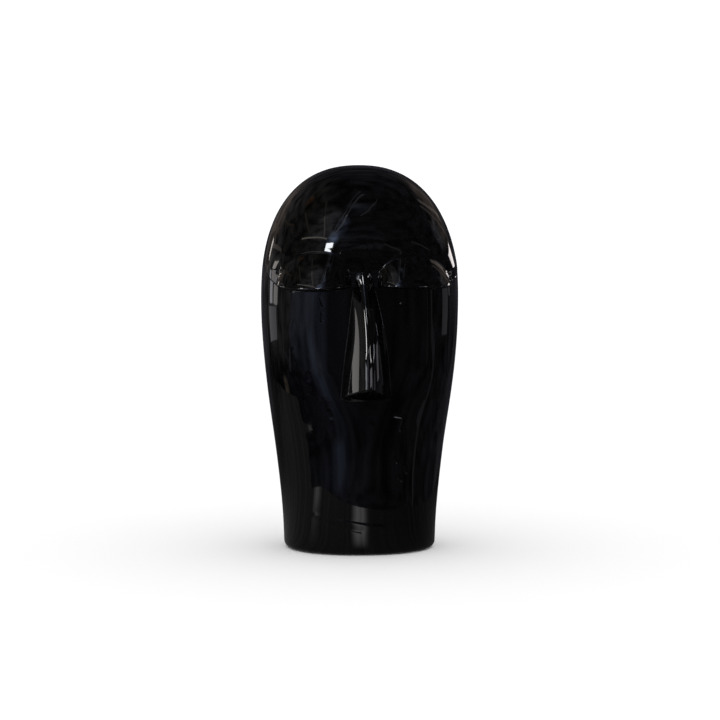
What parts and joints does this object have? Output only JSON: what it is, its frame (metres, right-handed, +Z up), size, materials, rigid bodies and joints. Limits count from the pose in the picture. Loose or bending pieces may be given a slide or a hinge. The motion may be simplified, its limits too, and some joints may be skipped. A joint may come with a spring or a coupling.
{
  "type": "head sculpture",
  "caption": "Stylised mouthless head with a tall domed skull, ledge-like closed eyelids, a long wedge nose and a broad tapering neck, in gloss black.",
  "frame": {"origin": "centre of the flat underside, on the face's middle plane, from which only the lids differ in height", "axes": "+Z up to the crown, -Y the way the face looks, +X to the right as one looks at the face"},
  "size_m": [0.2064, 0.2072, 0.4],
  "materials": {
    "gloss_black": "polished black gel coat over a cast composite, mirror bright, with shallow casting waves, pits and runs"
  },
  "bodies": {
    "root": {"head": "gloss_black"}
  },
  "joints": []
}
